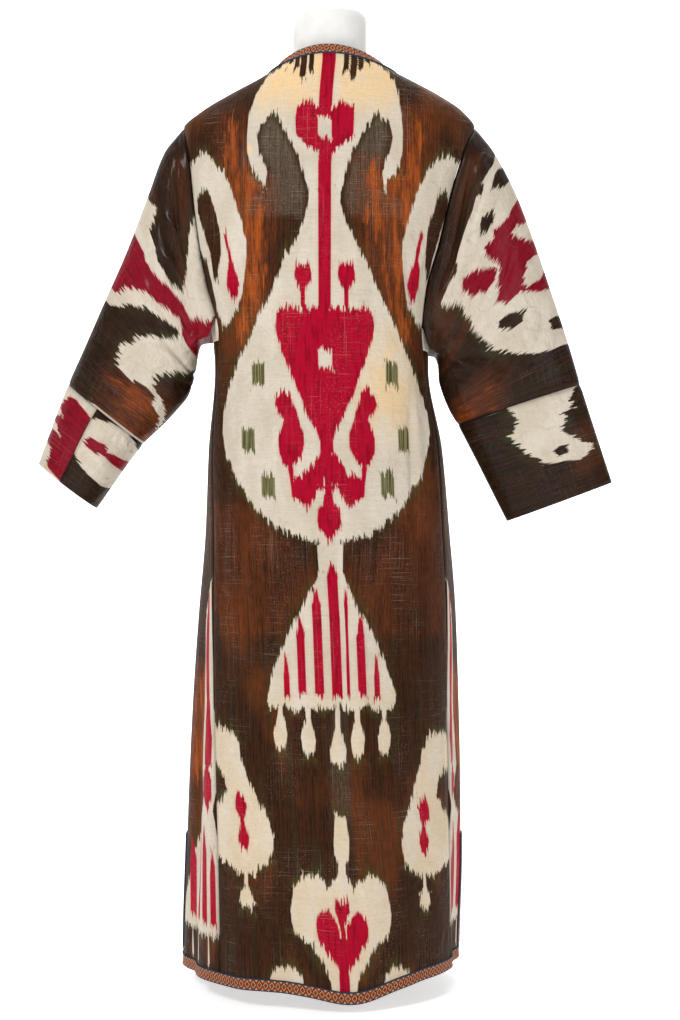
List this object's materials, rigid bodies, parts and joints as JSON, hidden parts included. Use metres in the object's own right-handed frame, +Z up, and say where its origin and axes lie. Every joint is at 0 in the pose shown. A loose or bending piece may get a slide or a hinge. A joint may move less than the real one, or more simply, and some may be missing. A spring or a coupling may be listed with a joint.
{
  "type": "uzbek ikat chapan robe on a limbless dress form",
  "caption": "Long open-fronted silk ikat robe with straight sleeves, side gores and braided edges, resting on the shoulders of a limbless dress form on a pole and round base.",
  "frame": {"origin": "on the floor, at the centre of the underside of the stand's round base", "axes": "+Z up along the pole, -Y towards the robe's open front, +X towards the robe's own left side"},
  "size_m": [0.83, 0.4192, 1.386],
  "materials": {
    "ikat": "glossy silk and cotton ikat",
    "gusset cloth": "plain woven, matt",
    "braid": "woven braid, matt",
    "form cloth": "cotton jersey, matt",
    "steel": "satin"
  },
  "bodies": {
    "root": {"back": "ikat", "front_left": "ikat", "front_right": "ikat", "gore_back_left": "ikat", "gore_back_right": "ikat", "gore_front_left": "ikat", "gore_front_right": "ikat", "sleeve_left": "ikat", "sleeve_left_patch": "ikat", "sleeve_left_wrist": "ikat", "sleeve_right": "ikat", "sleeve_right_wrist": "ikat", "gusset_left": "gusset cloth", "gusset_right": "gusset cloth", "braid_front_left": "braid", "braid_front_right": "braid", "braid_hem_back": "braid", "braid_hem_left": "braid", "braid_hem_right": "braid", "braid_neck": "braid", "braid_slit_back_left": "braid", "braid_slit_back_right": "braid", "braid_slit_front_left": "braid", "braid_slit_front_right": "braid", "dress_form": "form cloth", "pole": "steel", "base": "steel"}
  },
  "joints": []
}
